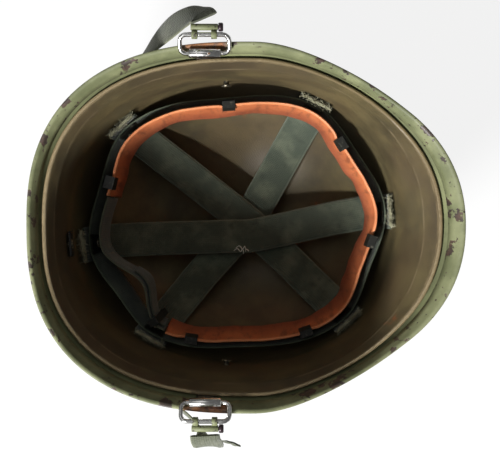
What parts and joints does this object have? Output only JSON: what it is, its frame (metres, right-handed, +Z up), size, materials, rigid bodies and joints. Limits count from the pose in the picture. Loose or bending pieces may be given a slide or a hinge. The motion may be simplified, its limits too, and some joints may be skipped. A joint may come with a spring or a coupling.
{
  "type": "steel pot helmet",
  "caption": "Two-part combat helmet lying crown down: flared steel pot, fibre liner with webbing suspension and leather sweatband, hinged wire bales and chin strap.",
  "frame": {"origin": "on the level plane that the upturned helmet rests on, under the middle of its opening", "axes": "+Z up out of the opening, +X to the brim, +Y to the wearer's right side"},
  "size_m": [0.2847, 0.2831, 0.1889],
  "materials": {
    "pot_paint": "worn matt olive paint",
    "rim_paint": "light olive paint, chipped to dark primer",
    "liner_fibre": "aged fabric laminate, satin",
    "webbing": "dark olive woven cotton",
    "frayed_webbing": "faded khaki cotton, frayed",
    "chin_webbing": "faded olive woven cotton",
    "washer_paint": "dark lacquer",
    "rivet_metal": "dark lacquer, rubbed",
    "clip_metal": "black lacquer",
    "slide_metal": "dark lacquer",
    "leather": "orange-tan, creased and greased dark inside",
    "hinge_metal": "bare and grey where rubbed",
    "bale_wire": "bright worn wire",
    "hook_paint": "olive paint over dark metal",
    "pin_metal": "dark lacquer",
    "buckle_metal": "dark lacquer",
    "tip_metal": "dark lacquer"
  },
  "bodies": {
    "helmet": {"pot_shell": "pot_paint", "rim_band": "rim_paint", "liner_shell": "liner_fibre", "crown_strap_low": "webbing", "crown_strap_middle": "webbing", "crown_strap_long": "webbing", "suspension_band": "webbing", "suspension_washers": "washer_paint", "suspension_rivets": "rivet_metal", "strap_ends": "frayed_webbing", "side_studs": "rivet_metal", "nape_plate": "washer_paint", "nape_rivet": "rivet_metal", "sweatband_leather": "leather", "sweatband_web": "webbing", "sweatband_tail": "webbing", "sweatband_slide": "slide_metal", "sweatband_clips": "clip_metal", "bale_lug_right": "hinge_metal", "bale_lug_left": "hinge_metal", "chinstrap_right": "chin_webbing", "chinstrap_left": "chin_webbing", "chinstrap_tail": "chin_webbing", "chinstrap_tip": "tip_metal", "chinstrap_buckle": "buckle_metal", "chinstrap_tongue": "buckle_metal", "strap_fold": "frayed_webbing"},
    "right_bale": {"bale_right": "bale_wire"},
    "left_bale": {"bale_left": "bale_wire"},
    "right_hook": {"hook_right": "hook_paint", "hook_pin_right": "pin_metal"},
    "left_hook": {"hook_left": "hook_paint", "hook_pin_left": "pin_metal"}
  },
  "joints": [
    {"name": "right_bale_hinge", "type": "hinge", "parent": "helmet", "child": "right_bale", "pos_m": [-0.026, 0.11055, 0.1786], "axis": [1, 0, 0], "range_deg": [0, 100], "deforming": ["chinstrap_right"]},
    {"name": "left_bale_hinge", "type": "hinge", "parent": "helmet", "child": "left_bale", "pos_m": [-0.026, -0.11055, 0.1786], "axis": [-1, 0, 0], "range_deg": [0, 100], "deforming": ["chinstrap_left", "strap_fold"]},
    {"name": "right_hook_hinge", "type": "hinge", "parent": "right_bale", "child": "right_hook", "pos_m": [-0.026, 0.12167, 0.18452], "axis": [1, 0, 0], "range_deg": [-10, 10]},
    {"name": "left_hook_hinge", "type": "hinge", "parent": "left_bale", "child": "left_hook", "pos_m": [-0.026, -0.12167, 0.18452], "axis": [-1, 0, 0], "range_deg": [-10, 10]}
  ]
}
